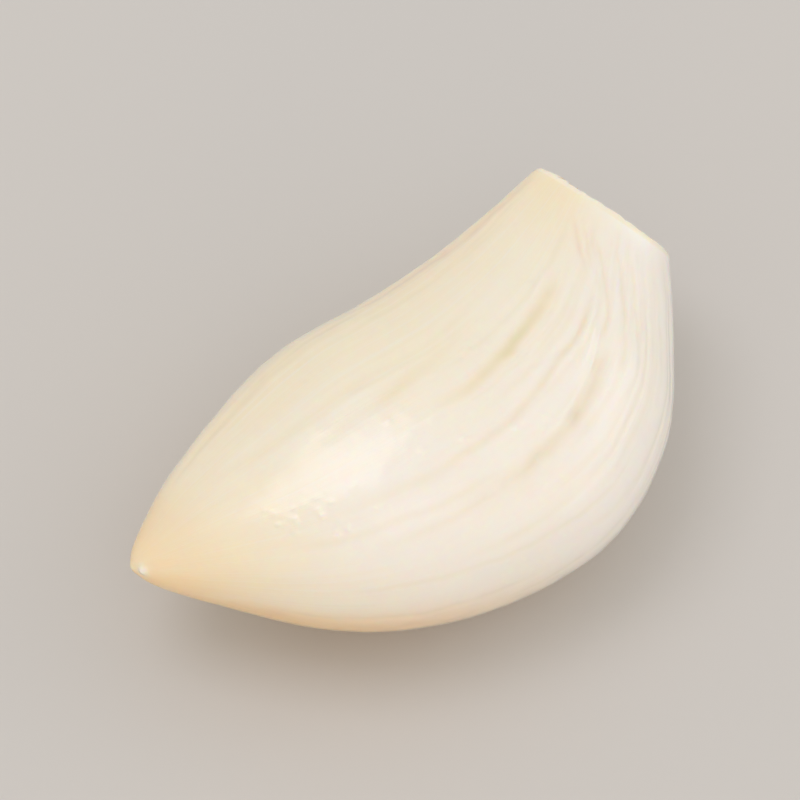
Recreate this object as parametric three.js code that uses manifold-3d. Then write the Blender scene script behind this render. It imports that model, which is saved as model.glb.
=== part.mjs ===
// A peeled garlic clove, lying on one flank.
//
// The clove is one solid body. Its middle plane holds two lines that both run from the root
// plate to the tip: the ridge line, which is nearly straight, and the belly line, which is a
// wide arc. Each cross section spans from one line to the other and swells over and under the
// middle plane. Shallow grooves fan out from the root plate over the upper flank. The body is
// then tipped into the way it lies, and a small flat spot is cut where it rests.
//
// Units are millimetres. +X points to the root end, +Y to the ridge, +Z up. The origin is the
// middle of the bounding box's bottom.
import * as THREE from 'three';
import { mergeVertices } from 'three/addons/utils/BufferGeometryUtils.js';
import Module from 'manifold-3d';

// ---- Outline in the middle plane: [x, y] from the root plate to the tip ----
const RIDGE_LINE = [[17.5, 8.2], [10.5, 8.55], [5.0, 9.4], [-1.0, 10.8], [-7.0, 10.6], [-12.5, 9.5]];
const BELLY_LINE = [
  [19.3, -0.9], [16.4, -4.05], [11.5, -8.2], [5.0, -10.2], [-2.0, -8.8], [-8.5, -4.9], [-14.0, 2.5],
];
const TIP = [-16.2, 7.7];

// ---- Cross sections: [share of the way to the tip, thickness as a share of the half width] ----
const OVER_FULLNESS = [
  [0, 0.58], [0.15, 0.67], [0.35, 0.72], [0.55, 0.72], [0.75, 0.74], [0.9, 0.8], [1, 0.86],
];
const UNDER_FULLNESS = [
  [0, 0.7], [0.15, 0.8], [0.35, 0.86], [0.55, 0.84], [0.75, 0.8], [0.9, 0.8], [1, 0.86],
];
const OVER_SHIFT = 0.2; // how far the upper flank is fuller towards the belly
const UNDER_SHIFT = -0.2; // the lower flank is fuller towards the ridge, under the clove's weight

// ---- Root plate, where the clove sat on the bulb's base ----
const PLATE_LEAN = -0.26; // x moved for each mm of height, at the plate
const PLATE_LEAN_REACH = 0.35; // share of the length over which the lean fades out
const RIM_RADIUS = 0.45;
const RIM_RINGS = 4;
const SCAR_RIM = 0.78; // size of the scar's edge as a share of the plate
const SCAR_DEPTH = 0.35;
const SCAR_RINGS = 5;

// ---- Grooves: share along and angle round the section at each end, sideways bow in degrees, ----
// ---- half width and depth in mm ----
const GROOVES = [
  { from: 0.19, to: 0.43, angleFrom: 100, angleTo: 95.5, bow: 0.5, halfWidth: 0.6, depth: 0.26 },
  { from: 0.15, to: 0.5, angleFrom: 82, angleTo: 77, bow: 2.5, halfWidth: 0.6, depth: 0.22 },
  { from: 0.23, to: 0.42, angleFrom: 68.5, angleTo: 63.5, bow: -0.5, halfWidth: 0.7, depth: 0.26 },
  { from: 0.05, to: 0.24, angleFrom: 71, angleTo: 60.5, bow: -3, halfWidth: 0.6, depth: 0.1 },
  { from: 0.38, to: 0.53, angleFrom: 114, angleTo: 108, bow: 0, halfWidth: 0.8, depth: 0.08 },
];
const GROOVE_FADE = 0.07; // share of the length over which a groove's end fades out
const GROOVED_HALF_WIDTH = 1; // sections narrower than this carry no groove

// ---- How it lies ----
const ROLL = 15; // degrees about X, ridge raised
const PITCH = 6; // degrees about Y, root end raised
const FLAT_DEPTH = 0.5; // how much the resting spot is pressed flat

// ---- Mesh density ----
const ALONG = 42; // rings from the root plate to the tip
const AROUND = 78; // points round a ring
const TIP_CROWDING = 1.35; // rings stand closer towards the tip
const FLANK_CROWDING = 0.3; // points stand closer on the grooved flank
const SPLINE_STEPS = 100; // length samples for each stretch of the outline

const toRadians = THREE.MathUtils.degToRad;

// The outline runs up the ridge line, round the tip and back down the belly line, so that the
// two lines meet in one smooth, blunt tip.
const outlinePoints = [...RIDGE_LINE, TIP, ...BELLY_LINE.toReversed()];
const outline = new THREE.CatmullRomCurve3(
  outlinePoints.map(([x, y]) => new THREE.Vector3(x, y, 0)),
  false,
  'centripetal',
);
outline.arcLengthDivisions = SPLINE_STEPS * (outlinePoints.length - 1);
const lengths = outline.getLengths();
const tipShare = lengths[SPLINE_STEPS * RIDGE_LINE.length] / lengths.at(-1);

/** A smooth curve through [share, value] pairs, read at a share. */
function smoothValue(pairs) {
  const curve = new THREE.CubicInterpolant(
    pairs.map(([share]) => share),
    pairs.map(([, value]) => value),
    1,
  );
  return (share) => curve.evaluate(share)[0];
}
const overFullness = smoothValue(OVER_FULLNESS);
const underFullness = smoothValue(UNDER_FULLNESS);

/** Depth of all grooves at a share along and an angle round, in mm. */
function grooveDepth(share, angle, radius) {
  let depth = 0;
  for (const groove of GROOVES) {
    const along = (share - groove.from) / (groove.to - groove.from);
    const straight = THREE.MathUtils.lerp(groove.angleFrom, groove.angleTo, along);
    const centre = toRadians(straight + 4 * groove.bow * along * (1 - along));
    const aside = ((angle - centre) * radius) / groove.halfWidth;
    const fadeIn = THREE.MathUtils.smoothstep(share, groove.from - GROOVE_FADE, groove.from + GROOVE_FADE);
    const fadeOut = 1 - THREE.MathUtils.smoothstep(share, groove.to - GROOVE_FADE, groove.to + GROOVE_FADE);
    depth += groove.depth * Math.exp(-aside * aside) * fadeIn * fadeOut;
  }
  return depth;
}

/** One point of the skin: an oval that leans from the ridge line to the belly line. */
function skinPoint(share, angle) {
  const ridge = outline.getPointAt(share * tipShare);
  const belly = outline.getPointAt(1 - share * (1 - tipShare));
  const middle = ridge.clone().add(belly).multiplyScalar(0.5);
  const half = belly.clone().sub(ridge).multiplyScalar(0.5);
  const halfWidth = half.length();
  const across = Math.cos(angle);
  const rise = Math.sin(angle);
  const fullness = rise >= 0 ? overFullness(share) : underFullness(share);
  const shift = rise >= 0 ? OVER_SHIFT : UNDER_SHIFT;
  const height = fullness * halfWidth * rise * (1 + shift * across);
  const spread = 1 - grooveDepth(share, angle, halfWidth) / Math.max(halfWidth, GROOVED_HALF_WIDTH);
  const point = middle.addScaledVector(half, across * spread);
  point.z = height * spread;
  const lean = Math.max(1 - share / PLATE_LEAN_REACH, 0) ** 2;
  point.x += PLATE_LEAN * lean * point.z;
  return point;
}

/** Angles round a ring, closer together on the upper flank. */
function ringAngles() {
  return Array.from({ length: AROUND }, (_, k) => {
    const turn = (2 * Math.PI * k) / AROUND;
    return turn + FLANK_CROWDING * Math.cos(turn);
  });
}

/** Rings of the root plate, from its centre out to the rim: a round edge and a dished scar. */
function plateRings(rim) {
  const centre = new THREE.Vector3();
  rim.forEach((point) => centre.add(point));
  centre.divideScalar(rim.length);
  const [ridgeEnd, bellyEnd] = [RIDGE_LINE[0], BELLY_LINE[0]];
  const across = new THREE.Vector3(bellyEnd[0] - ridgeEnd[0], bellyEnd[1] - ridgeEnd[1], 0);
  const upwards = new THREE.Vector3(PLATE_LEAN, 0, 1);
  const outwards = upwards.cross(across).normalize();
  const meanRadius = rim.reduce((sum, point) => sum + point.distanceTo(centre), 0) / rim.length;
  const ringAt = (scale, offset) =>
    rim.map((point) => centre.clone().lerp(point, scale).addScaledVector(outwards, offset));
  const rings = [];
  for (let k = 0; k < SCAR_RINGS; k += 1) {
    const reach = (k + 1) / SCAR_RINGS;
    const dish = SCAR_DEPTH * (1 - reach * reach);
    rings.push(ringAt(SCAR_RIM * reach, RIM_RADIUS - dish));
  }
  for (let k = RIM_RINGS - 1; k > 0; k -= 1) {
    const turn = (Math.PI / 2) * (k / RIM_RINGS);
    const inset = (RIM_RADIUS / meanRadius) * (1 - Math.cos(turn));
    rings.push(ringAt(1 - inset, RIM_RADIUS * Math.sin(turn)));
  }
  const pole = centre.clone().addScaledVector(outwards, RIM_RADIUS - SCAR_DEPTH);
  return { rings, pole };
}

/** A closed skin from a first pole, rings of equal count, and a last pole. */
function closedSkin(firstPole, rings, lastPole) {
  const positions = [firstPole, ...rings.flat(), lastPole].flatMap((point) => point.toArray());
  const last = rings.length * AROUND + 1;
  const vertex = (ring, k) => 1 + ring * AROUND + (k % AROUND);
  const triangles = [];
  for (let k = 0; k < AROUND; k += 1) {
    triangles.push(0, vertex(0, k + 1), vertex(0, k));
    triangles.push(last, vertex(rings.length - 1, k), vertex(rings.length - 1, k + 1));
    for (let ring = 0; ring < rings.length - 1; ring += 1) {
      const near = [vertex(ring, k), vertex(ring, k + 1)];
      const far = [vertex(ring + 1, k), vertex(ring + 1, k + 1)];
      triangles.push(near[0], far[1], far[0], near[0], near[1], far[1]);
    }
  }
  const skin = new THREE.BufferGeometry();
  skin.setAttribute('position', new THREE.Float32BufferAttribute(positions, 3));
  skin.setIndex(triangles);
  return skin;
}

/** The whole clove before it is laid down. */
function cloveSkin() {
  const angles = ringAngles();
  const rings = [];
  for (let k = 0; k < ALONG; k += 1) {
    const share = 1 - (1 - k / ALONG) ** TIP_CROWDING;
    rings.push(angles.map((angle) => skinPoint(share, angle)));
  }
  const plate = plateRings(rings[0]);
  return closedSkin(plate.pole, [...plate.rings, ...rings], skinPoint(1, 0));
}

/** Tips a skin into the way it lies, centred over the origin with its resting spot sunk below. */
function layDown(skin) {
  skin.rotateX(toRadians(ROLL));
  skin.rotateY(-toRadians(PITCH));
  skin.computeBoundingBox();
  const { min, max } = skin.boundingBox;
  skin.translate(-(min.x + max.x) / 2, -(min.y + max.y) / 2, -min.z - FLAT_DEPTH);
  return skin;
}

const wasm = await Module();
wasm.setup();

/** A solid from a closed geometry. */
function toSolid(geometry) {
  const bare = geometry.clone();
  bare.deleteAttribute('normal');
  bare.deleteAttribute('uv');
  const merged = mergeVertices(bare);
  return new wasm.Manifold(new wasm.Mesh({
    numProp: 3,
    vertProperties: merged.attributes.position.array,
    triVerts: Uint32Array.from(merged.index.array),
  }));
}

/** A geometry from a solid. */
function toGeometry(solid) {
  const mesh = solid.getMesh();
  const geometry = new THREE.BufferGeometry();
  geometry.setAttribute('position', new THREE.Float32BufferAttribute(mesh.vertProperties, 3));
  geometry.setIndex(new THREE.Uint32BufferAttribute(mesh.triVerts, 1));
  geometry.computeVertexNormals();
  return geometry;
}

/** Cuts away everything below the resting plane. */
function cutFlat(skin) {
  skin.computeBoundingBox();
  const size = skin.boundingBox.getSize(new THREE.Vector3());
  const below = new THREE.BoxGeometry(2 * size.x, 2 * size.y, size.z);
  below.translate(0, 0, -size.z / 2);
  return toGeometry(toSolid(skin).subtract(toSolid(below)));
}

const flesh = new THREE.MeshStandardMaterial({ color: 0xf2e6c8, roughness: 0.36, metalness: 0 });

const clove = new THREE.Mesh(cutFlat(layDown(cloveSkin())), flesh);
clove.name = 'garlic_clove';

const part = new THREE.Group();
part.add(clove);

export default part;
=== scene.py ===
"""A peeled garlic clove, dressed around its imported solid.

The clove is one closed skin. A middle plane holds two lines that run from the root plate to the
tip: the ridge line, nearly straight, and the belly line, a wide arc. Every cross section spans
from one line to the other. Grooves, fine lines, swellings and small marks then move the skin
along its own normal, the root plate closes the thick end, and the whole is tipped into the way
it lies. Form is worked out in millimetres and put into the mesh in metres.
"""
import logging
import math
from dataclasses import dataclass
from enum import Enum
from typing import Any

import bpy
import numpy as np
from mathutils import Euler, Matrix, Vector


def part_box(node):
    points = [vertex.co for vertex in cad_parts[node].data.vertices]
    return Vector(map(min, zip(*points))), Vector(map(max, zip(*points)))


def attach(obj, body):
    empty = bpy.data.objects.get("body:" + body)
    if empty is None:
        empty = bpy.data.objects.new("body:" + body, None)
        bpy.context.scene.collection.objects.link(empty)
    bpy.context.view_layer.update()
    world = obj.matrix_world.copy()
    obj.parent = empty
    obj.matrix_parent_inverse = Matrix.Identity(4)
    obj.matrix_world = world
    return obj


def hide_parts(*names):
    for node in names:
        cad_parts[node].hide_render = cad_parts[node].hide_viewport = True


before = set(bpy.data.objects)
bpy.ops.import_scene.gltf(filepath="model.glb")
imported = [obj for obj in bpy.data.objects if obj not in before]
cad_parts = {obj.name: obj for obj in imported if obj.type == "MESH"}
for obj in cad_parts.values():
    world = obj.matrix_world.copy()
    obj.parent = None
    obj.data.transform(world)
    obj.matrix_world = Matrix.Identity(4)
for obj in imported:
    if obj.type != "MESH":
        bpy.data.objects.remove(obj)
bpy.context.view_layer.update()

log = logging.getLogger("garlic")

MM = 0.001
FULL_TURN = 2 * math.pi
NODE = "garlic_clove"
BODY = "root"

LAYER_SHIFT = 17.0  # how far apart the layers of a noise read it
CREASE_WIDTH = 0.28  # widths and places across a streak, in its half widths
LIP_PLACE = 1.9
LIP_WIDTH = 0.8
TINT_WIDTH = 0.95
RING_WIDTH = 0.4  # width of a ring mark, as a share of its radius
WELT = {"crease": 0.0, "lip": 0.0, "olive_and_crease_shade": 0.0}  # what makes a raised streak plain
MIX_FIRST, MIX_SECOND, MIX_RESULT = 6, 7, 2  # colour sockets of the Mix node

Array = np.ndarray
Colour = tuple[float, float, float]
Span = tuple[float, float]
Box = tuple[Vector, Vector]


# ---- numbers and curves ----


def smooth_step(low: float, high: float, value: Array) -> Array:
    """Ease from 0 where the value is low to 1 where it is high: 3t^2 - 2t^3."""
    t = np.clip((value - low) / (high - low), 0.0, 1.0)
    return t * t * (3.0 - 2.0 * t)


def bell(value: Array) -> Array:
    """A bell curve, exp(-x^2), 1 at 0 and almost 0 past 2."""
    return np.exp(-value * value)


def through_points(points: Array, steps: int) -> tuple[Array, Array]:
    """A centripetal Catmull-Rom curve through points, with knots spaced by the root of distance.

    Args:
        points: Points of the plane that the curve passes, in order.
        steps: Samples on each stretch between two points.

    Returns:
        The samples, and the distance run along the curve at each of them.
    """
    ends = np.vstack([2 * points[0] - points[1], points, 2 * points[-1] - points[-2]])
    knots = np.append(0.0, np.cumsum(np.linalg.norm(np.diff(ends, axis=0), axis=1) ** 0.5))

    def blend(first: Array, second: Array, start: float, end: float, at: Array) -> Array:
        """Straight mix of two values between two knots."""
        return ((end - at) * first + (at - start) * second) / (end - start)

    stretches = []
    for i in range(len(points) - 1):
        a, b, c, d = ends[i : i + 4]
        ta, tb, tc, td = knots[i : i + 4]
        t = np.linspace(tb, tc, steps, endpoint=False)[:, None]
        ab, bc, cd = blend(a, b, ta, tb, t), blend(b, c, tb, tc, t), blend(c, d, tc, td, t)
        stretches.append(blend(blend(ab, bc, ta, tc, t), blend(bc, cd, tb, td, t), tb, tc, t))
    samples = np.vstack([*stretches, points[-1:]])
    run = np.append(0.0, np.cumsum(np.linalg.norm(np.diff(samples, axis=0), axis=1)))
    return samples, run


def smooth_values(rows: Array, at: Array) -> Array:
    """Smooth values through rows of a share and its values: cubics, with their neighbours' mean slopes.

    Args:
        rows: Shares from 0 to 1, each followed by the values there.
        at: Shares at which to read the values.

    Returns:
        A row of values for each share.
    """
    knots, values = rows[:, 0], rows[:, 1:]
    slopes = np.gradient(values, knots, axis=0)
    k = np.clip(np.searchsorted(knots, at, side="right") - 1, 0, len(knots) - 2)
    gap = (knots[k + 1] - knots[k])[:, None]
    t = (at - knots[k])[:, None] / gap
    rise = (2 * t**3 - 3 * t**2 + 1) * values[k] + (3 * t**2 - 2 * t**3) * values[k + 1]
    lean = (t**3 - 2 * t**2 + t) * slopes[k] + (t**3 - t**2) * slopes[k + 1]
    return rise + gap * lean


@dataclass(frozen=True)
class Ramp:
    """An eased step between two values, with a strength."""

    low: float
    high: float
    strength: float = 1.0

    def at(self, value: Array) -> Array:
        """The ramp's height where the value is read: 0 up to low, strength from high on."""
        return self.strength * smooth_step(self.low, self.high, value)


@dataclass(frozen=True)
class LatticeNoise:
    """Smooth random values in space: seeded numbers on a cubic lattice, eased between corners."""

    seed: int
    cells: int = 32

    def sample(self, points: Array, size: float) -> Array:
        """Noise from -1 to 1 at points.

        Args:
            points: Places in space, with x, y and z last.
            size: Distance over which the noise changes.

        Returns:
            One value a point, an eased mix of the eight lattice corners round it.
        """
        lattice = np.random.default_rng(self.seed).uniform(-1, 1, (self.cells,) * 3)
        spot = points / size
        low = np.floor(spot).astype(int)
        t = spot - low
        t = t * t * (3 - 2 * t)
        total = np.zeros(points.shape[:-1])
        for corner in np.ndindex(2, 2, 2):
            weight = np.prod(np.where(np.array(corner) == 1, t, 1 - t), axis=-1)
            x, y, z = np.moveaxis((low + corner) % self.cells, -1, 0)
            total += weight * lattice[x, y, z]
        return total

    def layered(self, points: Array, size: float, layers: int = 2) -> Array:
        """Noise with finer, weaker layers on top, each half the size and half the height."""
        return sum(self.sample(points + LAYER_SHIFT * k, size / 2**k) / 2**k for k in range(layers))


# ---- relief on the skin ----


@dataclass(frozen=True)
class Streak:
    """A furrow that runs along the clove, with a fine crease at its foot and low lips.

    A negative depth turns it into a raised welt.
    """

    share_from: float
    share_to: float
    angle_from: float
    angle_to: float
    half_width: float
    depth: float
    bow: float = 0.0
    crease: float = 0.35
    lip: float = 0.12
    fade: float = 0.06
    # greenish-yellow tint along the furrow, partly painted shade in it
    olive_and_crease_shade: float = 0.4
    # pinkish-brown tint: veins near the root plate, and painted shade along the ridge
    blush_and_ridge_shade: float = 0.0

    def trace(self, share: Array, angle: Array, speed: Array) -> tuple[Array, Array]:
        """How strongly each point of the skin feels the streak, and how far aside of it the point lies.

        Args:
            share: Share of the way to the tip.
            angle: Angle round the section, in radians.
            speed: Millimetres of skin to a radian.

        Returns:
            The fade from 0 to 1, and the distance aside in half widths.
        """
        t = (share - self.share_from) / (self.share_to - self.share_from)
        centre = self.angle_from + (self.angle_to - self.angle_from) * t + 4 * self.bow * t * (1 - t)
        turn = (angle - np.radians(centre) + math.pi) % FULL_TURN - math.pi
        start = smooth_step(self.share_from - self.fade, self.share_from + self.fade, share)
        end = smooth_step(self.share_to + self.fade, self.share_to - self.fade, share)
        return start * end, turn * speed / self.half_width

    def relief(self, fade: Array, aside: Array) -> Array:
        """Height along the normal: a bell-shaped valley, a narrow crease and a lip on each side.

        Args:
            fade: How strongly each point feels the streak.
            aside: Its distance aside, in half widths.

        Returns:
            The height in millimetres.
        """
        valley = bell(aside) + self.crease * bell(aside / CREASE_WIDTH)
        lips = bell((aside - LIP_PLACE) / LIP_WIDTH) + bell((aside + LIP_PLACE) / LIP_WIDTH)
        return self.depth * fade * (self.lip * lips - valley)


@dataclass(frozen=True)
class StreakScatter:
    """Streaks at random places, each number drawn between two limits."""

    seed: int
    count: int
    start: Span
    angle: Span
    depth: Span
    length: Span = (0.14, 0.42)
    drift: Span = (-7, 3)
    half_width: Span = (0.12, 0.3)
    bow: Span = (-2, 2)
    crease: float = 0.35
    lip: float = 0.12
    fade: float = 0.06
    olive_and_crease_shade: float = 0.2

    def streaks(self) -> list[Streak]:
        """The streaks, drawn at random within the limits.

        Returns:
            As many streaks as the count says.
        """
        draw = np.random.default_rng(self.seed)
        limits = (self.start, self.length, self.angle, self.drift, self.half_width, self.depth, self.bow)
        shape = (self.crease, self.lip, self.fade, self.olive_and_crease_shade)
        lines = []
        for _ in range(self.count):
            start, length, angle, drift, half_width, depth, bow = (draw.uniform(*limit) for limit in limits)
            lines.append(Streak(start, start + length, angle, angle + drift, half_width, depth, bow, *shape))
        return lines


@dataclass(frozen=True)
class Mark:
    """A small round mark on the skin: a bump, a pit or a ring, with a stain or without."""

    share: float
    angle: float
    radius: float
    height: float
    ring: bool = False
    stain: float = 0.0

    def relief(self, distance: Array) -> Array:
        """Height along the normal at a distance from the mark's middle: a bell, or a bell-shaped ring."""
        across = (distance - self.radius) / RING_WIDTH if self.ring else distance
        return self.height * bell(across / self.radius)


@dataclass(frozen=True)
class Cluster:
    """Tiny bumps and pits, scattered over a stretch of the skin."""

    seed: int
    count: int
    share: Span
    angle: Span
    radius: Span
    height: Span

    def marks(self) -> list[Mark]:
        """The cluster's marks, drawn at random within its limits.

        Returns:
            As many marks as the count says.
        """
        draw = np.random.default_rng(self.seed)
        limits = (self.share, self.angle, self.radius, self.height)
        return [Mark(*(draw.uniform(*limit) for limit in limits)) for _ in range(self.count)]


class Layer(Enum):
    """Painted layers that the mesh carries as attributes, each from 0 to 1."""

    OLIVE_AND_CREASE_SHADE = "olive_and_crease_shade"
    BLUSH_AND_RIDGE_SHADE = "blush_and_ridge_shade"
    WARMTH = "warmth"
    PALE_AND_PAINTED_HIGHLIGHT = "pale_and_painted_highlight"
    PAINTED_GLOW_AND_SCAR_HALO = "painted_glow_and_scar_halo"
    SCAR = "scar"
    NUB = "nub"


FLOW = "flow"


def with_poles(values: Array) -> Array:
    """Values ring by ring, then the first ring's mean and the last ring's for the two poles, as one row."""
    ends = [values[0].mean(axis=0), values[-1].mean(axis=0)]
    return np.concatenate([values.reshape(-1, *values.shape[2:]), ends]).astype(np.float32).ravel()


@dataclass
class Skin:
    """Rings of points with their painted layers, from one end of the clove to the other."""

    points: Array
    flow: Array
    layers: dict[Layer, Array]

    def joined(self, other: "Skin") -> "Skin":
        """Both skins' rings in a row, without the last one, which a pole replaces.

        Args:
            other: The skin that follows.

        Returns:
            The two as one skin.
        """
        layers = {key: np.concatenate([self.layers[key], other.layers[key][:-1]]) for key in Layer}
        points = np.concatenate([self.points, other.points[:-1]])
        return Skin(points, np.concatenate([self.flow, other.flow[:-1]]), layers)


@dataclass(frozen=True)
class SkinTints:
    """Where the flank is warm, where it is paler, partly with painted highlight, and where a painted warm
    glow lies.

    Each ramp reads the share of the way to the tip, the cosine of the angle round the section
    (1 at the belly, -1 at the ridge) or its sine (1 on top, -1 below).
    """

    tip_warmth: Ramp = Ramp(0.62, 0.98)
    plate_warmth: Ramp = Ramp(0.2, 0.0)
    plate_warmth_side: Ramp = Ramp(0.4, -0.7)
    ridge_warmth: Ramp = Ramp(-0.35, -1.0, 0.8)
    # paler on the belly's side: partly the flesh's own tone, partly painted highlight
    pale_highlight_side: Ramp = Ramp(-0.6, 0.6)
    pale_highlight_length: Ramp = Ramp(0.85, 0.5)
    # painted warm glow of bounced light: on the belly's lower edge, the underside and the tip
    edge_height: Ramp = Ramp(0.52, 0.0, 0.95)
    edge_side: Ramp = Ramp(-0.2, 0.6)
    edge_length: Ramp = Ramp(0.35, 0.75)
    below_height: Ramp = Ramp(0.2, -0.6, 0.45)
    below_length: Ramp = Ramp(0.1, 0.5)
    tip_painted_glow: Ramp = Ramp(0.80, 0.96)
    tip_painted_glow_height: Ramp = Ramp(1.0, 0.2, 0.5)
    tip_painted_glow_all_round: float = 0.22

    def layers(self, share: Array, turns: Array) -> dict[Layer, Array]:
        """The warm layer, the paler layer with painted highlight, and the painted warm glow layer.

        Warm are the tip, the ridge, and the ridge's side of the root plate. Paler is the belly's
        side, less and less towards the tip: partly the flesh's own tone, partly painted highlight.
        Painted warm glow, standing in for bounced light, lies on the belly's lower edge, the
        underside and the tip.

        Args:
            share: Share of the way to the tip at each point.
            turns: Angle round the section at each point, in radians.

        Returns:
            The three layers, each from 0 to 1.
        """
        across, rise = np.cos(turns), np.sin(turns)
        by_plate = self.plate_warmth_side.at(across) * self.plate_warmth.at(share)
        ends = np.maximum(self.tip_warmth.at(share), by_plate)
        # painted warm glow of bounced light, on the lower edge, below and at the tip
        edge = self.edge_height.at(rise) * self.edge_side.at(across) * self.edge_length.at(share)
        below = self.below_height.at(rise) * self.below_length.at(share)
        tip = self.tip_painted_glow.at(share) * (self.tip_painted_glow_all_round + self.tip_painted_glow_height.at(rise))
        return {
            Layer.WARMTH: np.maximum(ends, self.ridge_warmth.at(across)),
            Layer.PALE_AND_PAINTED_HIGHLIGHT: self.pale_highlight_side.at(across) * self.pale_highlight_length.at(share),
            Layer.PAINTED_GLOW_AND_SCAR_HALO: np.maximum(edge, np.maximum(below, tip)),
        }


# ---- the clove ----


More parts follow.
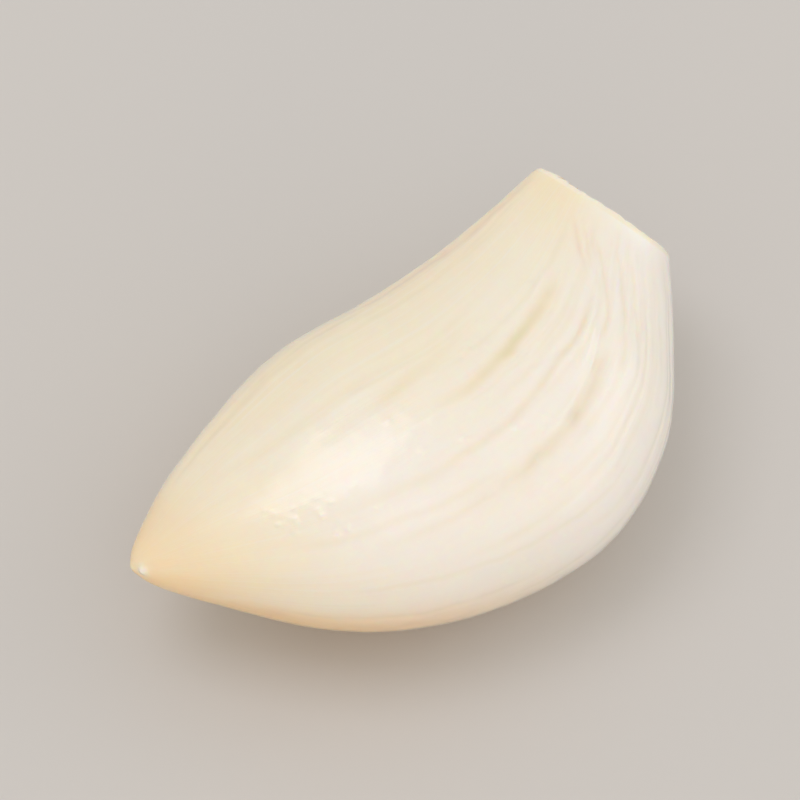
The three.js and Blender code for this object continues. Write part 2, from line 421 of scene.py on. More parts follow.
@dataclass(frozen=True)
class CloveForm:
    """The clove's form, in millimetres. +X points to the root end, +Y to the ridge, +Z up."""

    ridge_line: tuple = ((17.5, 8.2), (10.5, 8.55), (5.0, 9.4), (-1.0, 10.8), (-7.0, 10.6), (-12.5, 9.5))
    belly_line: tuple = (
        (19.3, -0.9), (16.4, -4.05), (11.5, -8.2), (5.0, -10.2), (-2.0, -8.8), (-8.5, -4.9), (-14.0, 2.5),
    )
    tip: tuple = (-16.2, 7.7)
    fullness: tuple = (
        (0, 0.58, 0.7), (0.15, 0.67, 0.8), (0.35, 0.72, 0.86), (0.55, 0.72, 0.84),
        (0.75, 0.74, 0.8), (0.9, 0.8, 0.8), (1, 0.86, 0.86),
    )
    shift: float = 0.2
    plate_lean: float = -0.26
    plate_lean_reach: float = 0.35
    roll: float = 15.0
    pitch: float = -6.0
    flat_depth: float = 0.5
    rim_radius: float = 0.45
    scar_rim: float = 0.78
    scar_depth: float = 0.35
    scar_border: Ramp = Ramp(0.83, 0.77)
    scar_raggedness: float = 0.08
    scar_bite_size: float = 1.1
    scar_sink: float = 0.34
    crumb_size: float = 0.55
    rim_crumb_height: float = 0.22
    inner_crumb_height: Ramp = Ramp(0.78, 0.6, 0.18)
    scar_swell_height: float = 0.12
    scar_swell_size: float = 1.5
    scar_ring_depth: float = 0.12
    scar_ring_size: float = 0.55
    scar_ring_width: float = 0.07
    rim_warmth: float = 0.25
    plate_warmth: Ramp = Ramp(0.95, 0.8, 0.45)
    plate_amber: Ramp = Ramp(0.91, 0.79, 0.9)
    along: int = 280
    around: int = 288
    rim_rings: int = 8
    rim_reach: int = 14
    rim_passes: int = 16
    rim_pull: Ramp = Ramp(1.0, 0.4, 0.5)
    scar_rings: int = 34
    spline_steps: int = 400
    tip_crowding: float = 1.15
    flank_crowding: float = 0.3
    crowded_angle: float = 85.0
    streaks: tuple[Streak, ...] = (
        Streak(0.19, 0.43, 99.8, 97.6, 0.42, 0.042, bow=0.5, crease=0.1, olive_and_crease_shade=0.85),
        Streak(0.15, 0.5, 82, 77, 0.3, 0.055, bow=2.5, crease=0.3, lip=0.35, olive_and_crease_shade=0.35),
        Streak(0.48, 0.64, 76.5, 77.5, 0.45, 0.02, crease=0.1, olive_and_crease_shade=0.2),
        Streak(0.22, 0.45, 69.3, 62.6, 0.62, 0.25, bow=-0.5, crease=0.0, lip=0.0, olive_and_crease_shade=0.55),
        # wide, shallow furrow whose greenish-yellow tint is painted broad shade
        Streak(0.34, 0.52, 60.5, 59, 1.0, 0.13, crease=0.0, lip=0.0, olive_and_crease_shade=0.15),
        Streak(0.38, 0.53, 114, 108, 0.46, 0.022, crease=0.2),
        Streak(0.55, 0.66, 108, 106.5, 0.5, 0.02, crease=0.0, olive_and_crease_shade=0.2),
        Streak(0.06, 0.21, 86, 72, 0.26, 0.035, bow=-4.5, fade=0.03, olive_and_crease_shade=0.35),
        Streak(0.05, 0.24, 71, 60.5, 0.28, 0.045, bow=-3, fade=0.03, olive_and_crease_shade=0.35),
        Streak(0.05, 0.19, 60, 52, 0.24, 0.03, fade=0.03, olive_and_crease_shade=0.3),
        Streak(0.045, 0.11, 104, 91, 0.24, 0.025, fade=0.02, olive_and_crease_shade=0.0, blush_and_ridge_shade=0.25),
        Streak(0.04, 0.1, 97, 87, 0.18, 0.02, fade=0.02, olive_and_crease_shade=0.0, blush_and_ridge_shade=0.15),
        Streak(0.05, 0.13, 90, 80, 0.2, 0.02, fade=0.02, olive_and_crease_shade=0.0, blush_and_ridge_shade=0.1),
        Streak(0.02, 0.86, 222, 214, 1.7, -0.13, bow=3, fade=0.12, **WELT),
        Streak(0.05, 0.8, 303, 310, 2.2, -0.1, fade=0.12, **WELT),
        Streak(0.08, 0.78, 203, 196, 1.2, 0.11, bow=4, crease=0.1, lip=0.3, fade=0.1, olive_and_crease_shade=0.25),
        Streak(0.12, 0.66, 232, 238, 0.8, 0.09, bow=-3, crease=0.2, fade=0.1),
        Streak(0.1, 0.52, 262, 256, 0.6, 0.07, crease=0.3, fade=0.08),
        Streak(0.06, 0.4, 300, 309, 0.6, 0.06, bow=2, crease=0.3, fade=0.05),
        Streak(0.09, 0.46, 331, 338, 0.6, 0.07, bow=-2, crease=0.3),
        Streak(0.14, 0.35, 180, 178, 0.4, 0.07, crease=0.3),
        # painted shade along the ridge, as a faint pinkish-brown groove
        Streak(0.02, 0.4, 160, 162, 0.35, 0.035, crease=0.1, fade=0.03, olive_and_crease_shade=0.0, blush_and_ridge_shade=0.2),
        Streak(0.16, 0.24, 80, 79, 0.2, -0.11, fade=0.02, **WELT),
        Streak(0.19, 0.26, 77, 75, 0.16, -0.1, fade=0.015, **WELT),
        Streak(0.25, 0.31, 80.5, 80, 0.2, -0.09, fade=0.02, **WELT),
        Streak(0.2, 0.27, 74, 71, 0.16, -0.09, fade=0.015, **WELT),
        Streak(0.17, 0.22, 105.5, 105, 0.22, -0.08, fade=0.02, **WELT),
        Streak(0.28, 0.36, 70.5, 69.5, 0.25, -0.06, fade=0.03, **WELT),
    )
    marks: tuple[Mark, ...] = (
        Mark(0.2, 110.5, 0.22, -0.05),
        Mark(0.285, 109, 0.26, -0.05),
        Mark(0.318, 113.5, 0.2, 0.05),
        Mark(0.36, 109, 0.3, 0.04, ring=True),
        Mark(0.32, 94, 0.26, 0.04, ring=True),
        Mark(0.405, 76.5, 0.2, 0.07),
        Mark(0.362, 72, 0.18, 0.06),
        Mark(0.372, 108.8, 0.2, 0.05),
        Mark(0.468, 82.2, 0.22, 0.07),
        Mark(0.52, 214, 0.24, -0.06, stain=0.9),
        Mark(0.55, 211, 0.12, -0.03, stain=0.7),
        Mark(0.3, 322, 0.2, -0.05, stain=0.8),
        Mark(0.71, 171, 0.16, -0.04, stain=0.6),
    )
    clusters: tuple[Cluster, ...] = (
        Cluster(4, 34, (0.62, 0.76), (66, 94), (0.1, 0.2), (-0.02, 0.075)),
        Cluster(7, 44, (0.14, 0.53), (58, 112), (0.15, 0.28), (-0.01, 0.038)),
        Cluster(21, 40, (0.05, 0.92), (0, 360), (0.12, 0.34), (-0.02, 0.014)),
    )
    nub: Mark = Mark(0.975, 62, 0.26, 0.21)
    nub_reach: float = 0.36
    plate_fade: Ramp = Ramp(0.0, 0.02)
    tip_fade: Ramp = Ramp(1.0, 0.985)
    hollow_depth: float = 0.14
    hollow_size: float = 9.0
    ripple_depth: float = 0.022
    ripple_size: float = 1.6
    wander: float = 0.14
    wander_size: float = 1.7
    lumps: float = 0.3
    lump_size: float = 1.3
    lump_offset: float = 40.0
    tints: SkinTints = SkinTints()
    scatters: tuple[StreakScatter, ...] = (
        StreakScatter(43, 30, start=(0.01, 0.12), angle=(15, 95), depth=(0.004, 0.018)),
        StreakScatter(33, 34, start=(0.02, 0.5), angle=(0, 360), depth=(0.006, 0.020)),
        StreakScatter(
            23, 40, start=(0.1, 0.52), angle=(45, 118), depth=(-0.026, -0.006), length=(0.02, 0.06),
            drift=(-2.5, 0.5), half_width=(0.17, 0.32), bow=(0, 0), fade=0.02, **WELT,
        ),
    )
    swell: LatticeNoise = LatticeNoise(5)
    grain: LatticeNoise = LatticeNoise(8)

    def lines(self, share: Array) -> tuple[Array, Array]:
        """Points of the ridge line and of the belly line at a share of the way to the tip.

        One curve runs up the ridge line, round the tip and back down the belly line, so that the
        two meet in a smooth, blunt tip. Each line is read by its own length.

        Args:
            share: Shares from 0 at the root plate to 1 at the tip.

        Returns:
            The ridge line's and the belly line's points, two numbers each.
        """
        outline = np.array([*self.ridge_line, self.tip, *self.belly_line[::-1]])
        samples, run = through_points(outline, self.spline_steps)
        tip_run = run[self.spline_steps * len(self.ridge_line)]
        runs = np.stack([share * tip_run, run[-1] - share * (run[-1] - tip_run)])
        ridge, belly = np.stack([np.interp(runs, run, column) for column in samples.T], axis=-1)
        return ridge, belly

    def section_points(self, share: Array, angle: Array) -> Array:
        """The smooth skin: an oval that spans from the ridge line to the belly line.

        Half width times the cosine runs across, and fullness times half width times the sine
        rises. The fullness, one above and one below, leans towards the belly above and towards
        the ridge below. Near the root plate the section leans along X with its height.

        Args:
            share: Shares of the way to the tip, one a ring.
            angle: Angles round the section in radians, one a point.

        Returns:
            Points by ring and angle, before the clove is laid down.
        """
        ridge, belly = self.lines(share)
        middle, half = (ridge + belly) / 2, (belly - ridge) / 2
        half_width = np.linalg.norm(half, axis=-1)[:, None]
        across, rise = np.cos(angle)[None], np.sin(angle)[None]
        over, under = smooth_values(np.array(self.fullness), share).T[..., None]
        fullness = np.where(rise >= 0, over * (1 + self.shift * across), under * (1 - self.shift * across))
        points = np.empty((len(share), len(angle), 3))
        points[..., :2] = middle[:, None] + half[:, None] * across[..., None]
        points[..., 2] = half_width * rise * fullness
        lean = np.clip(1 - share / self.plate_lean_reach, 0, 1)[:, None] ** 2
        points[..., 0] += self.plate_lean * lean * points[..., 2]
        return points

    @staticmethod
    def normals(points: Array) -> tuple[Array, Array]:
        """Outward normals of a grid of rings, from the cross product of its two tangents.

        Args:
            points: Points by ring and angle; the angle closes on itself.

        Returns:
            Unit normals, and the millimetres of skin for each step round a ring.
        """
        along = np.gradient(points, axis=0)
        around = (np.roll(points, -1, axis=1) - np.roll(points, 1, axis=1)) / 2
        normal = np.cross(around, along)
        length = np.linalg.norm(normal, axis=-1, keepdims=True)
        return normal / np.maximum(length, 1e-9), np.linalg.norm(around, axis=-1)

    def angles(self) -> Array:
        """A ring's angles, t - c sin(t - crowded) in radians, which are closest at the crowded angle."""
        t = np.linspace(0, FULL_TURN, self.around, endpoint=False)
        return t - self.flank_crowding * np.sin(t - math.radians(self.crowded_angle))

    def relief(self, points: Array, rings: Array, turns: Array, speed: Array) -> tuple[Array, Array, Array]:
        """How far the skin stands off the smooth form, and where streaks and marks tint it.

        Soft hollows and a fine unevenness come first. The streaks wander a little aside and are
        lumpy along their length, and the marks are round.

        Args:
            points: Points of the smooth skin, by ring and angle.
            rings: Share of the way to the tip at each point.
            turns: Angle round the section at each point, in radians.
            speed: Millimetres of skin to a radian.

        Returns:
            The height along the normal, the greenish-yellow tint of the grooves with painted shade in them,
            and the pinkish-brown tint of veins and stains with painted shade along the ridge.
        """
        height = -self.hollow_depth * self.swell.layered(points, self.hollow_size)
        height -= self.ripple_depth * self.grain.layered(points, self.ripple_size)
        olive_and_crease_shade, blush_and_ridge_shade = np.zeros_like(height), np.zeros_like(height)
        wander = self.wander * self.swell.layered(points, self.wander_size)
        wavy = turns + wander / np.maximum(speed, 1.0)
        lumpy = 1 + self.lumps * self.grain.layered(points + self.lump_offset, self.lump_size)
        scattered = [line for scatter in self.scatters for line in scatter.streaks()]
        for line in [*self.streaks, *scattered]:
            fade, aside = line.trace(rings, wavy, speed)
            height += lumpy * line.relief(fade, aside)
            # the groove's greenish-yellow tint is partly painted shade; one streak's pinkish-brown tint is
            # painted shade along the ridge
            tint = lumpy * fade * bell(aside / TINT_WIDTH)
            olive_and_crease_shade = np.maximum(olive_and_crease_shade, line.olive_and_crease_shade * tint)
            blush_and_ridge_shade = np.maximum(blush_and_ridge_shade, line.blush_and_ridge_shade * tint)
        dots = [mark for cluster in self.clusters for mark in cluster.marks()]
        for mark in [*self.marks, self.nub, *dots]:
            distance = self.distance(points, mark)
            height += mark.relief(distance)
            blush_and_ridge_shade = np.maximum(blush_and_ridge_shade, mark.stain * bell(distance / mark.radius))
        return height, olive_and_crease_shade, blush_and_ridge_shade

    def distance(self, points: Array, mark: Mark) -> Array:
        """Distance of each point from a mark's middle on the smooth skin."""
        place = self.section_points(np.array([mark.share]), np.radians([mark.angle]))[0, 0]
        return np.linalg.norm(points - place, axis=-1)

    def flank_skin(self) -> Skin:
        """The skin from the rim of the root plate to the tip, with its relief and layers.

        Returns:
            Rings of points, the last of them drawn together at the tip.
        """
        share = 1 - (1 - np.linspace(0, 1, self.along)) ** self.tip_crowding
        angle = self.angles()
        points = self.section_points(share, angle)
        normal, spacing = self.normals(points)
        step = (np.roll(angle, -1) - np.roll(angle, 1)) % FULL_TURN / 2
        rings, turns = np.broadcast_arrays(share[:, None], angle[None])
        height, olive_and_crease_shade, blush_and_ridge_shade = self.relief(points, rings, turns, spacing / step)
        at_ends = self.plate_fade.at(rings) * self.tip_fade.at(rings)
        layers = {
            **self.tints.layers(rings, turns),
            Layer.OLIVE_AND_CREASE_SHADE: olive_and_crease_shade * at_ends,
            Layer.BLUSH_AND_RIDGE_SHADE: blush_and_ridge_shade * at_ends,
            Layer.SCAR: np.zeros_like(height),
            Layer.NUB: bell(self.distance(points, self.nub) / self.nub_reach),
        }
        flow = np.stack([np.cos(turns), np.sin(turns), rings], axis=-1)
        return Skin(points + normal * (height * at_ends)[..., None], flow, layers)

    def plate_rings(self, rim: Array) -> tuple[Array, Array, Array]:
        """The smooth root plate, from its middle out to the rim: a dished scar in a round edge.

        Each ring is the rim drawn towards its middle and moved outwards. The edge turns through a
        quarter circle, and the scar's floor is a parabola, deepest in the middle.

        Args:
            rim: The first ring of the flank's skin.

        Returns:
            Rings of points from the middle outwards, without the rim itself, their sizes as
            shares of the rim's, and the plate's outward direction.
        """
        centre = rim.mean(axis=0)
        across = np.append(np.subtract(self.belly_line[0], self.ridge_line[0]), 0.0)
        outwards = np.cross((self.plate_lean, 0.0, 1.0), across)
        outwards /= np.linalg.norm(outwards)
        mean_radius = np.linalg.norm(rim - centre, axis=-1).mean()

        reach = np.arange(1, self.scar_rings + 1) / self.scar_rings
        scar_size, scar_rise = self.scar_rim * reach, self.rim_radius - self.scar_depth * (1 - reach**2)
        turn = 0.5 * math.pi * np.arange(self.rim_rings - 1, 0, -1) / self.rim_rings
        edge_size = 1 - self.rim_radius / mean_radius * (1 - np.cos(turn))
        edge_rise = self.rim_radius * np.sin(turn)

        size = np.concatenate([scar_size, edge_size])[:, None]
        rise = np.concatenate([scar_rise, edge_rise])[:, None, None]
        return centre + size[..., None] * (rim - centre) + rise * outwards, size, outwards

    def plate_skin(self, rim: Array) -> Skin:
        """The root plate with the scar's crumbs and its layers.

        Args:
            rim: The first ring of the flank's skin.

        Returns:
            Rings of points from the middle outwards, without the rim itself.
        """
        points, size, outwards = self.plate_rings(rim)
        border = size + self.scar_raggedness * np.abs(self.grain.layered(points, self.scar_bite_size, 3))
        scar = self.scar_border.at(border)
        crumbs = np.abs(self.grain.layered(points, self.crumb_size, 3))
        rough = (self.rim_crumb_height + self.inner_crumb_height.at(size)) * crumbs
        rough += self.scar_swell_height * self.swell.sample(points, self.scar_swell_size)
        rough -= self.scar_ring_depth * bell((size - self.scar_ring_size) / self.scar_ring_width)
        points = points + (scar * (rough - self.scar_sink))[..., None] * outwards
        ones = np.ones(points.shape[:2])
        angle = self.angles()
        flow = np.stack([np.cos(angle) * size, np.sin(angle) * size, 0 * ones], axis=-1)
        layers = {layer: 0 * ones for layer in Layer}
        layers[Layer.SCAR] = scar * ones
        layers[Layer.WARMTH] = self.rim_warmth + self.plate_warmth.at(border)
        # the scar's own golden-orange halo, in the same layer as the painted warm glow
        layers[Layer.PAINTED_GLOW_AND_SCAR_HALO] = self.plate_amber.at(border)
        return Skin(points, flow, layers)

    def soft_rim(self, rings: Array, rim: int) -> Array:
        """Rounds the corner between plate and flank: each ring moves towards its neighbours' mean.

        Args:
            rings: All rings, from the scar's middle to the tip.
            rim: Number of the ring at the corner.

        Returns:
            The rings, softened within a reach of the corner.
        """
        far = np.abs(np.arange(len(rings)) - rim) / self.rim_reach
        pull = self.rim_pull.at(far)[1:-1, None, None]
        softened = rings.copy()
        for _ in range(self.rim_passes):
            softened[1:-1] += pull * ((softened[:-2] + softened[2:]) / 2 - softened[1:-1])
        return softened

    def lay_down(self, points: Array, smooth: Array, box: Box) -> Array:
        """Tips points into the way the clove lies, over the solid's place, and presses the spot flat.

        Args:
            points: Points of the finished skin.
            smooth: Points of the smooth skin, which say where the resting spot is.
            box: Lowest and highest corner of the solid, in metres.

        Returns:
            The finished points in their place.
        """
        tip_over = np.array(Euler(np.radians((self.roll, self.pitch, 0.0))).to_matrix()).T
        smooth, points = smooth @ tip_over, points @ tip_over
        least, most = smooth.min(axis=(0, 1)), smooth.max(axis=(0, 1))
        shift = np.mean(box, axis=0) / MM - (least + most) / 2
        shift[2] = -least[2] - self.flat_depth
        placed = points + shift
        placed[..., 2] = np.maximum(placed[..., 2], 0.0)
        return placed

    def skin(self, box: Box) -> tuple[Skin, Array]:
        """The whole clove as rings from the scar's middle to the tip.

        Args:
            box: Lowest and highest corner of the solid, in metres.

        Returns:
            The rings in their place, and the scar's middle point and the tip's as poles.
        """
        flank = self.flank_skin()
        plate = self.plate_skin(flank.points[0])
        bare = self.section_points(np.linspace(0, 1, self.along), self.angles())
        smooth = np.concatenate([self.plate_rings(bare[0])[0], bare])
        poles = np.stack([plate.points[0].mean(axis=0), flank.points[-1].mean(axis=0)])
        whole = plate.joined(flank)
        softened = self.soft_rim(whole.points, len(plate.points))
        whole.points = self.lay_down(softened, smooth, box)
        return whole, self.lay_down(poles, smooth, box)


# ---- shader maths ----


@dataclass(frozen=True)
class Pattern:
    """A smooth shader noise, and how its value from 0 to 1 becomes a share of colour.

    The share is (value - threshold) * gain, kept between 0 and 1, times strength. A stretch
    multiplies each part of the place before the noise reads it.
    """

    scale: float
    detail: float = 2.0
    roughness: float = 0.5
    stretch: tuple | None = None
    threshold: float = 0.0
    gain: float = 1.0
    strength: float = 1.0

    def share(self, value: "Wire") -> "Wire":
        """The share of colour that a value of the noise gives."""
        return ((value - self.threshold) * self.gain).clamped() * self.strength


class Wire:
    """A shader socket that adds Math nodes when it is put into a sum, difference or product."""

    def __init__(self, graph: "Graph", socket: bpy.types.NodeSocket) -> None:
        """Wraps one output socket of a graph."""
        self.graph = graph
        self.socket = socket

    def math(self, operation: str, *others: Any) -> "Wire":
        """One Math node on this value and others."""
        return self.graph.node("ShaderNodeMath", {"operation": operation}, dict(enumerate([self, *others])))

    def __add__(self, other: Any) -> "Wire":
        """Sum."""
        return self.math("ADD", other)

    __radd__ = __add__

    def __sub__(self, other: Any) -> "Wire":
        """Difference."""
        return self.math("SUBTRACT", other)

    def __rsub__(self, other: Any) -> "Wire":
        """Difference from a number."""
        return self * -1.0 + other

    def __mul__(self, other: Any) -> "Wire":
        """Product."""
        return self.math("MULTIPLY", other)

    __rmul__ = __mul__

    def clamped(self) -> "Wire":
        """This value kept between 0 and 1."""
        return self.math("MINIMUM", 1.0).math("MAXIMUM", 0.0)


class Graph:
    """The node tree of one material."""

    def __init__(self, name: str) -> None:
        """Starts a material with an empty tree.

        Args:
            name: The material's name.
        """
        self.material = bpy.data.materials.new(name)
        self.material.use_nodes = True
        self.tree = self.material.node_tree
        self.tree.nodes.clear()

    def add(self, kind: str, settings: dict[str, Any], sockets: dict[Any, Any]) -> bpy.types.Node:
        """Adds one node of any kind.

        Args:
            kind: The node's type.
            settings: Properties of the node, set before its sockets.
            sockets: Values or wires for the inputs, by name or number.

        Returns:
            The node.
        """
        made = self.tree.nodes.new(kind)
        for name, value in settings.items():
            setattr(made, name, value)
        for key, value in sockets.items():
            if isinstance(value, Wire):
                self.tree.links.new(value.socket, made.inputs[key])
            elif made.inputs[key].type == "RGBA":
                made.inputs[key].default_value = (*value, 1.0)
            else:
                made.inputs[key].default_value = value
        return made

    def node(self, kind: str, settings: dict[str, Any], sockets: dict[Any, Any], output: Any = 0) -> Wire:
        """One output of a new node, by name or number."""
        return Wire(self, self.add(kind, settings, sockets).outputs[output])

    def mix(self, factor: Any, first: Any, second: Any) -> Wire:
        """A mix of two colours.

        Args:
            factor: Share of the second colour, kept between 0 and 1.
            first: The colour at 0.
            second: The colour at 1.

        Returns:
            The mixed colour.
        """
        sockets = {"Factor": factor, MIX_FIRST: first, MIX_SECOND: second}
        settings = {"data_type": "RGBA", "clamp_factor": True}
        return self.node("ShaderNodeMix", settings, sockets, MIX_RESULT)

    def painted(self, name: str, kind: str = "Fac") -> Wire:
        """A number painted on the mesh, or a vector if the kind is Vector."""
        return self.node("ShaderNodeAttribute", {"attribute_name": name}, {}, kind)

    def noise(self, at: Wire, pattern: Pattern) -> Wire:
        """A pattern's smooth noise.

        Args:
            at: Place at which the noise is read.
            pattern: Its scale, detail, roughness and stretch.

        Returns:
            A value from 0 to 1.
        """
        if pattern.stretch is not None:
            at = self.node("ShaderNodeVectorMath", {"operation": "MULTIPLY"}, {0: at, 1: pattern.stretch})
        sockets = {"Scale": pattern.scale, "Detail": pattern.detail, "Roughness": pattern.roughness}
        return self.node("ShaderNodeTexNoise", {}, {"Vector": at, **sockets}, "Fac")

    def bump(self, height: Wire, distance: float, strength: float) -> Wire:
        """A normal tilted by a height in the range 0 to 1, over a distance in metres."""
        sockets = {"Strength": strength, "Distance": distance, "Height": height}
        return self.node("ShaderNodeBump", {}, sockets)

    def principled(self, sockets: dict[str, Any], **settings: Any) -> Wire:
        """A Principled shader."""
        return self.node("ShaderNodeBsdfPrincipled", settings, sockets)

    def surface(self, shader: Wire) -> bpy.types.Material:
        """Wires a shader to the output and gives the finished material."""
        self.add("ShaderNodeOutputMaterial", {}, {"Surface": shader})
        return self.material


def linear(*channels: float) -> Colour:
    """A screen colour of 0 to 255 a channel as scene-linear light."""
    shares = [channel / 255 for channel in channels]
    return tuple(v / 12.92 if v <= 0.04045 else ((v + 0.055) / 1.055) ** 2.4 for v in shares)


# ---- finishes ----


@dataclass(frozen=True)
class FleshFinish:
    """Moist, waxy, see-through flesh: ivory, warmer at the tip, painted warm glow below, golden at the scar.
    """

    ivory: Colour = linear(255, 236, 214)
    # the flesh's own paler tone, also the colour of the painted highlight on the belly's side
    pale: Colour = linear(250, 240, 233)
    warm: Colour = linear(246, 228, 192)
    # colour of the painted warm glow below, and of the scar's own halo
    painted_glow_and_scar_halo: Colour = linear(240, 202, 142)
    # greenish-yellow of the grooves, partly painted shade in them
    olive_and_crease_shade: Colour = linear(224, 216, 168)
    # pinkish-brown of veins and stains, also of the painted shade along the ridge
    blush_and_ridge_shade: Colour = linear(226, 180, 146)
    gold: Colour = linear(230, 172, 84)
    straw: Colour = linear(246, 214, 146)
    bark: Colour = linear(168, 112, 50)
    nub: Colour = linear(255, 238, 222)
    patches: Pattern = Pattern(110.0, 3.0, threshold=0.35, gain=1.6)
    bands: Pattern = Pattern(2.0, 4.0, 0.6, (9.0, 9.0, 1.6), threshold=0.52, gain=3.0, strength=0.35)
    fibres: Pattern = Pattern(2.0, 3.0, 0.6, (22.0, 22.0, 1.2), threshold=0.5, gain=5.0, strength=0.3)
    warm_share: float = 0.55
    warm_patches: float = 0.6
    pale_highlight_share: float = 0.5
    pale_highlight_patches: float = 0.7
    painted_glow_and_scar_halo_share: float = 0.85
    olive_and_crease_shade_share: float = 0.65
    blush_and_ridge_shade_share: float = 0.7
    roughness: float = 0.36
    sheen: Pattern = Pattern(420.0, 3.0, strength=0.16)
    wrinkles: Pattern = Pattern(900.0, strength=0.6)
    pores: Pattern = Pattern(2600.0, 3.0, 0.6, strength=0.2)
    veins: Pattern = Pattern(3.0, 3.0, 0.55, (16.0, 16.0, 1.2), strength=0.5)
    relief: float = 0.06 * MM
    relief_strength: float = 0.4
    flesh_index: float = 1.42
    light_depth: float = 1.4 * MM
    light_spread: Colour = (1.0, 0.66, 0.40)
    coat: float = 1.0
    coat_roughness: float = 0.155
    coat_index: float = 1.46
    grains: Pattern = Pattern(1500.0, 6.0, 0.68, threshold=0.56, gain=5.0, strength=0.6)
    cell_scale: float = 2400.0
    grain_share: float = 0.7
    cork: Pattern = Pattern(1500.0, threshold=0.38, gain=4.0)
    scar_roughness: float = 0.75
    cork_relief: float = 0.4 * MM
    cork_relief_strength: float = 0.9

    def flesh(self, graph: Graph, place: Wire, flow: Wire) -> Wire:
        """Shader of the moist flesh, with soft patches, streaks and the painted layers.

        Args:
            graph: The material's nodes.
            place: Object coordinates.
            flow: The painted vector that follows the clove's length.

        Returns:
            The shader.
        """

        def painted(layer: Layer, share: Any) -> Wire:
            """A painted layer as a share of colour."""
            return graph.painted(layer.value) * share

        patches = graph.noise(place, self.patches)
        tints = (
            (self.patches.share(patches), self.pale),
            (painted(Layer.WARMTH, self.warm_share + patches * self.warm_patches), self.warm),
            (self.bands.share(graph.noise(flow, self.bands)), self.warm),
            (self.fibres.share(graph.noise(flow, self.fibres)), self.pale),
            # paler belly side, partly painted highlight
            (painted(Layer.PALE_AND_PAINTED_HIGHLIGHT, self.pale_highlight_share + patches * self.pale_highlight_patches), self.pale),
            # painted warm glow below, and the scar's own halo
            (painted(Layer.PAINTED_GLOW_AND_SCAR_HALO, self.painted_glow_and_scar_halo_share), self.painted_glow_and_scar_halo),
            (painted(Layer.OLIVE_AND_CREASE_SHADE, self.olive_and_crease_shade_share), self.olive_and_crease_shade),
            (painted(Layer.BLUSH_AND_RIDGE_SHADE, self.blush_and_ridge_shade_share), self.blush_and_ridge_shade),
            (graph.painted(Layer.NUB.value), self.nub),
        )
        body = self.ivory
        for share, colour in tints:
            body = graph.mix(share, body, colour)

        wrinkles = graph.noise(place, self.wrinkles) * self.wrinkles.strength
        pores = graph.noise(place, self.pores) * self.pores.strength
        veins = graph.noise(flow, self.veins) * self.veins.strength
        sheen = (graph.noise(place, self.sheen) - 0.5) * self.sheen.strength
        sockets = {
            "Base Color": body,
            "Roughness": self.roughness + sheen,
            "IOR": self.flesh_index,
            "Subsurface Weight": 1.0,
            "Subsurface Radius": self.light_spread,
            "Subsurface Scale": self.light_depth,
            "Coat Weight": self.coat,
            "Coat Roughness": self.coat_roughness,
            "Coat IOR": self.coat_index,
            "Normal": graph.bump(wrinkles + pores + veins, self.relief, self.relief_strength),
        }
        return graph.principled(sockets, subsurface_method="RANDOM_WALK")

    def scar(self, graph: Graph, place: Wire) -> Wire:
        """Shader of the dry, corky scar: golden grains with brown between them.

        Args:
            graph: The material's nodes.
            place: Object coordinates.

        Returns:
            The shader.
        """
        grains = graph.noise(place, self.grains)
        sockets = {"Vector": place, "Scale": self.cell_scale}
        cells = graph.node("ShaderNodeTexVoronoi", {}, sockets, "Distance")
        depth = grains * self.grain_share + cells * (1 - self.grain_share)
        colour = graph.mix(self.cork.share(depth), self.bark, self.gold)
        colour = graph.mix(self.grains.share(grains), colour, self.straw)
        normal = graph.bump(depth, self.cork_relief, self.cork_relief_strength)
        return graph.principled({"Base Color": colour, "Roughness": self.scar_roughness, "Normal": normal})

    def material(self) -> bpy.types.Material:
        """The finished material: flesh, with the scar where its layer is painted.

        Returns:
            The material of the clove's skin.
        """
        graph = Graph("garlic_flesh")
        place = graph.node("ShaderNodeTexCoord", {}, {}, "Object")
        flow = graph.painted(FLOW, "Vector")
        where = graph.painted(Layer.SCAR.value)
        sockets = {0: where, 1: self.flesh(graph, place, flow), 2: self.scar(graph, place)}
        return graph.surface(graph.node("ShaderNodeMixShader", {}, sockets))


@dataclass(frozen=True)
class FloorFinish:
    """Plain matt board, almost white."""

    pale: Colour = linear(206, 202, 196)
    shaded: Colour = linear(202, 198, 192)
    roughness: float = 0.7
    drift: Pattern = Pattern(6.0, strength=0.3)

    def material(self) -> bpy.types.Material:
        """The finished material, with a trace of unevenness.

        Returns:
            The floor's material.
        """
        graph = Graph("studio_floor")
        place = graph.node("ShaderNodeTexCoord", {}, {}, "Object")
        shade = graph.mix(self.drift.share(graph.noise(place, self.drift)), self.pale, self.shaded)
        return graph.surface(graph.principled({"Base Color": shade, "Roughness": self.roughness}))


# ---- pieces and stage ----


def new_object(name: str, data: bpy.types.ID) -> bpy.types.Object:
    """A new object with its data, put into the scene.

    Args:
        name: The object's name.
        data: Its mesh, light or camera.

    Returns:
        The object, at the origin.
    """
    made = bpy.data.objects.new(name, data)
    bpy.context.scene.collection.objects.link(made)
    return made


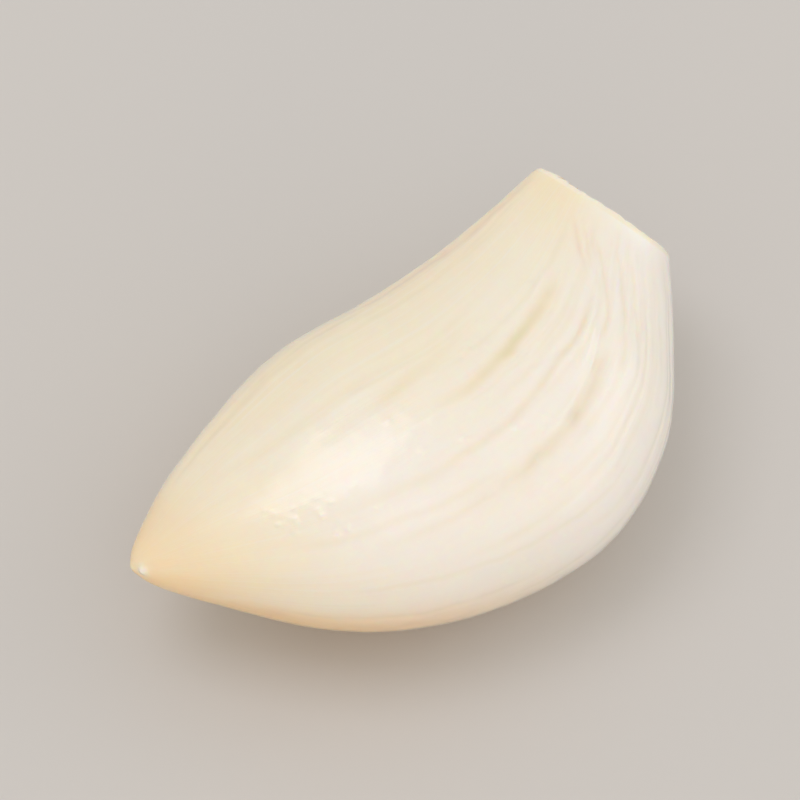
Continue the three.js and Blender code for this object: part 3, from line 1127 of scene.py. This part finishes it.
@dataclass
class Clove:
    """The one piece: the clove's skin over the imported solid."""

    form: CloveForm = CloveForm()
    flesh: FleshFinish = FleshFinish()

    def faces(self, rings: int) -> tuple[Array, Array]:
        """Corner numbers of the skin's faces, outwards.

        Args:
            rings: Number of rings between the two poles.

        Returns:
            Four-cornered faces between rings, and three-cornered ones round the poles.
        """
        around = self.form.around
        k = np.arange(around)
        after = (k + 1) % around
        near = around * np.arange(rings - 1)[:, None]
        far = near + around
        quads = np.stack([near + k, near + after, far + after, far + k], axis=-1).reshape(-1, 4)
        last, first_pole, last_pole = (rings - 1) * around, rings * around, rings * around + 1
        start = np.stack([np.full(around, first_pole), after, k], axis=-1)
        end = np.stack([np.full(around, last_pole), last + k, last + after], axis=-1)
        return quads, np.concatenate([start, end])

    def build(self) -> bpy.types.Object:
        """Makes the clove's mesh, paints its layers, and lets it stand for the solid.

        Returns:
            The finished object.
        """
        skin, poles = self.form.skin(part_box(NODE))
        points = np.concatenate([skin.points.reshape(-1, 3), poles]) * MM
        quads, triangles = self.faces(len(skin.points))
        mesh = bpy.data.meshes.new("garlic_clove_skin")
        mesh.from_pydata(points.tolist(), [], quads.tolist() + triangles.tolist())
        mesh.shade_smooth()
        for layer, values in skin.layers.items():
            painted = mesh.attributes.new(layer.value, "FLOAT", "POINT")
            painted.data.foreach_set("value", with_poles(values))
        painted = mesh.attributes.new(FLOW, "FLOAT_VECTOR", "POINT")
        painted.data.foreach_set("vector", with_poles(skin.flow))
        mesh.validate()
        mesh.update()
        mesh.materials.append(self.flesh.material())
        clove = new_object("garlic_clove_skin", mesh)
        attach(clove, BODY)
        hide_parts(NODE)
        log.info("clove skin: %d points, %d faces", len(mesh.vertices), len(mesh.polygons))
        return clove


@dataclass(frozen=True)
class SoftBox:
    """A square area light that faces the clove.

    right, up and back say where it hangs as seen from the camera. One that isn't mirrored lights
    the clove without showing as a reflection.
    """

    name: str
    right: float
    up: float
    back: float
    side: float
    power: float
    tone: Colour
    distance: float = 0.9
    mirrored: bool = True


@dataclass
class Studio:
    """Floor, soft light and camera."""

    azimuth: float = -45.6
    elevation: float = 60.0
    distance: float = 0.45
    view_width: float = 46 * MM
    sensor: float = 36.0
    target: tuple[float, float, float] = (0.8 * MM, 4.2 * MM, 7 * MM)
    floor_side: float = 6.0
    floor_drop: float = 0.02 * MM
    ambient: Colour = (1.0, 0.985, 0.97)
    ambient_strength: float = 0.775
    boxes: tuple[SoftBox, ...] = (
        SoftBox("overhead", -0.32, 0.53, 0.785, 0.44, 1.28, (0.95, 0.92, 0.985)),
        SoftBox("front", 0.15, -0.06, 0.98, 0.3, 0.16, (0.88, 0.92, 1.0)),
        SoftBox("side", 0.87, 0.38, 0.3, 0.56, 0.74, (0.9, 0.94, 1.0)),
        SoftBox("fill", 0.85, -0.25, 0.46, 0.5, 0.36, (0.87, 0.93, 1.0)),
        SoftBox("glow", 0.05, -0.8, 0.6, 0.4, 1.15, (1.0, 0.7, 0.38), mirrored=False),
    )

    def axes(self) -> tuple[Vector, Vector, Vector]:
        """The camera's directions.

        Returns:
            Unit vectors to its right, up and back.
        """
        azimuth, elevation = math.radians(self.azimuth), math.radians(self.elevation)
        level = math.cos(elevation)
        back = Vector((math.sin(azimuth) * level, -math.cos(azimuth) * level, math.sin(elevation)))
        right = Vector((math.cos(azimuth), math.sin(azimuth), 0.0))
        return right, back.cross(right), back

    def hang(self, name: str, data: bpy.types.ID, direction: Vector, distance: float) -> bpy.types.Object:
        """A light or camera that faces the target.

        Args:
            name: The object's name.
            data: The light or the camera.
            direction: Unit vector from the target to the object.
            distance: How far off it hangs, in metres.

        Returns:
            The object in its place.
        """
        made = new_object(name, data)
        made.location = Vector(self.target) + direction * distance
        made.rotation_mode = "QUATERNION"
        made.rotation_quaternion = direction.to_track_quat("Z", "Y")
        return made

    def build_floor(self) -> None:
        """A square of board, a hair below the clove's resting spot."""
        half = self.floor_side / 2
        corners = [(x, y, -self.floor_drop) for x in (-half, half) for y in (-half, half)]
        mesh = bpy.data.meshes.new("studio_floor")
        mesh.from_pydata(corners, [], [(0, 2, 3, 1)])
        mesh.materials.append(FloorFinish().material())
        new_object("studio_floor", mesh)
        log.info("floor: %.1f m square", self.floor_side)

    def build_lights(self) -> None:
        """Soft boxes round the camera and an even glow from all sides."""
        right, up, back = self.axes()
        for box in self.boxes:
            data = bpy.data.lights.new(box.name, "AREA")
            data.size = box.side
            data.energy = box.power
            data.color = box.tone
            direction = (right * box.right + up * box.up + back * box.back).normalized()
            lamp = self.hang(box.name, data, direction, box.distance)
            lamp.visible_glossy = box.mirrored
        world = bpy.data.worlds.new("studio")
        world.use_nodes = True
        glow = world.node_tree.nodes["Background"]
        glow.inputs["Color"].default_value = (*self.ambient, 1.0)
        glow.inputs["Strength"].default_value = self.ambient_strength
        bpy.context.scene.world = world
        bpy.context.scene.view_settings.view_transform = "Standard"
        log.info("lights: %d soft boxes", len(self.boxes))

    def build_camera(self) -> None:
        """A long lens that looks down on the clove's upper flank."""
        back = self.axes()[2]
        data = bpy.data.cameras.new("camera")
        data.sensor_width = self.sensor
        data.lens = self.sensor * self.distance / self.view_width
        bpy.context.scene.camera = self.hang("camera", data, back, self.distance)
        log.info("camera: %.0f mm lens", data.lens)

    def build(self) -> None:
        """Floor, lights and camera, in that order."""
        self.build_floor()
        self.build_lights()
        self.build_camera()


def main() -> None:
    """Builds the studio and the clove, and logs the floor's size, the lens and the clove's counts of points
    and faces.
    """
    logging.basicConfig(level=logging.INFO, format="%(name)s: %(message)s")
    Studio().build()
    Clove().build()


if __name__ == "__main__":
    main()
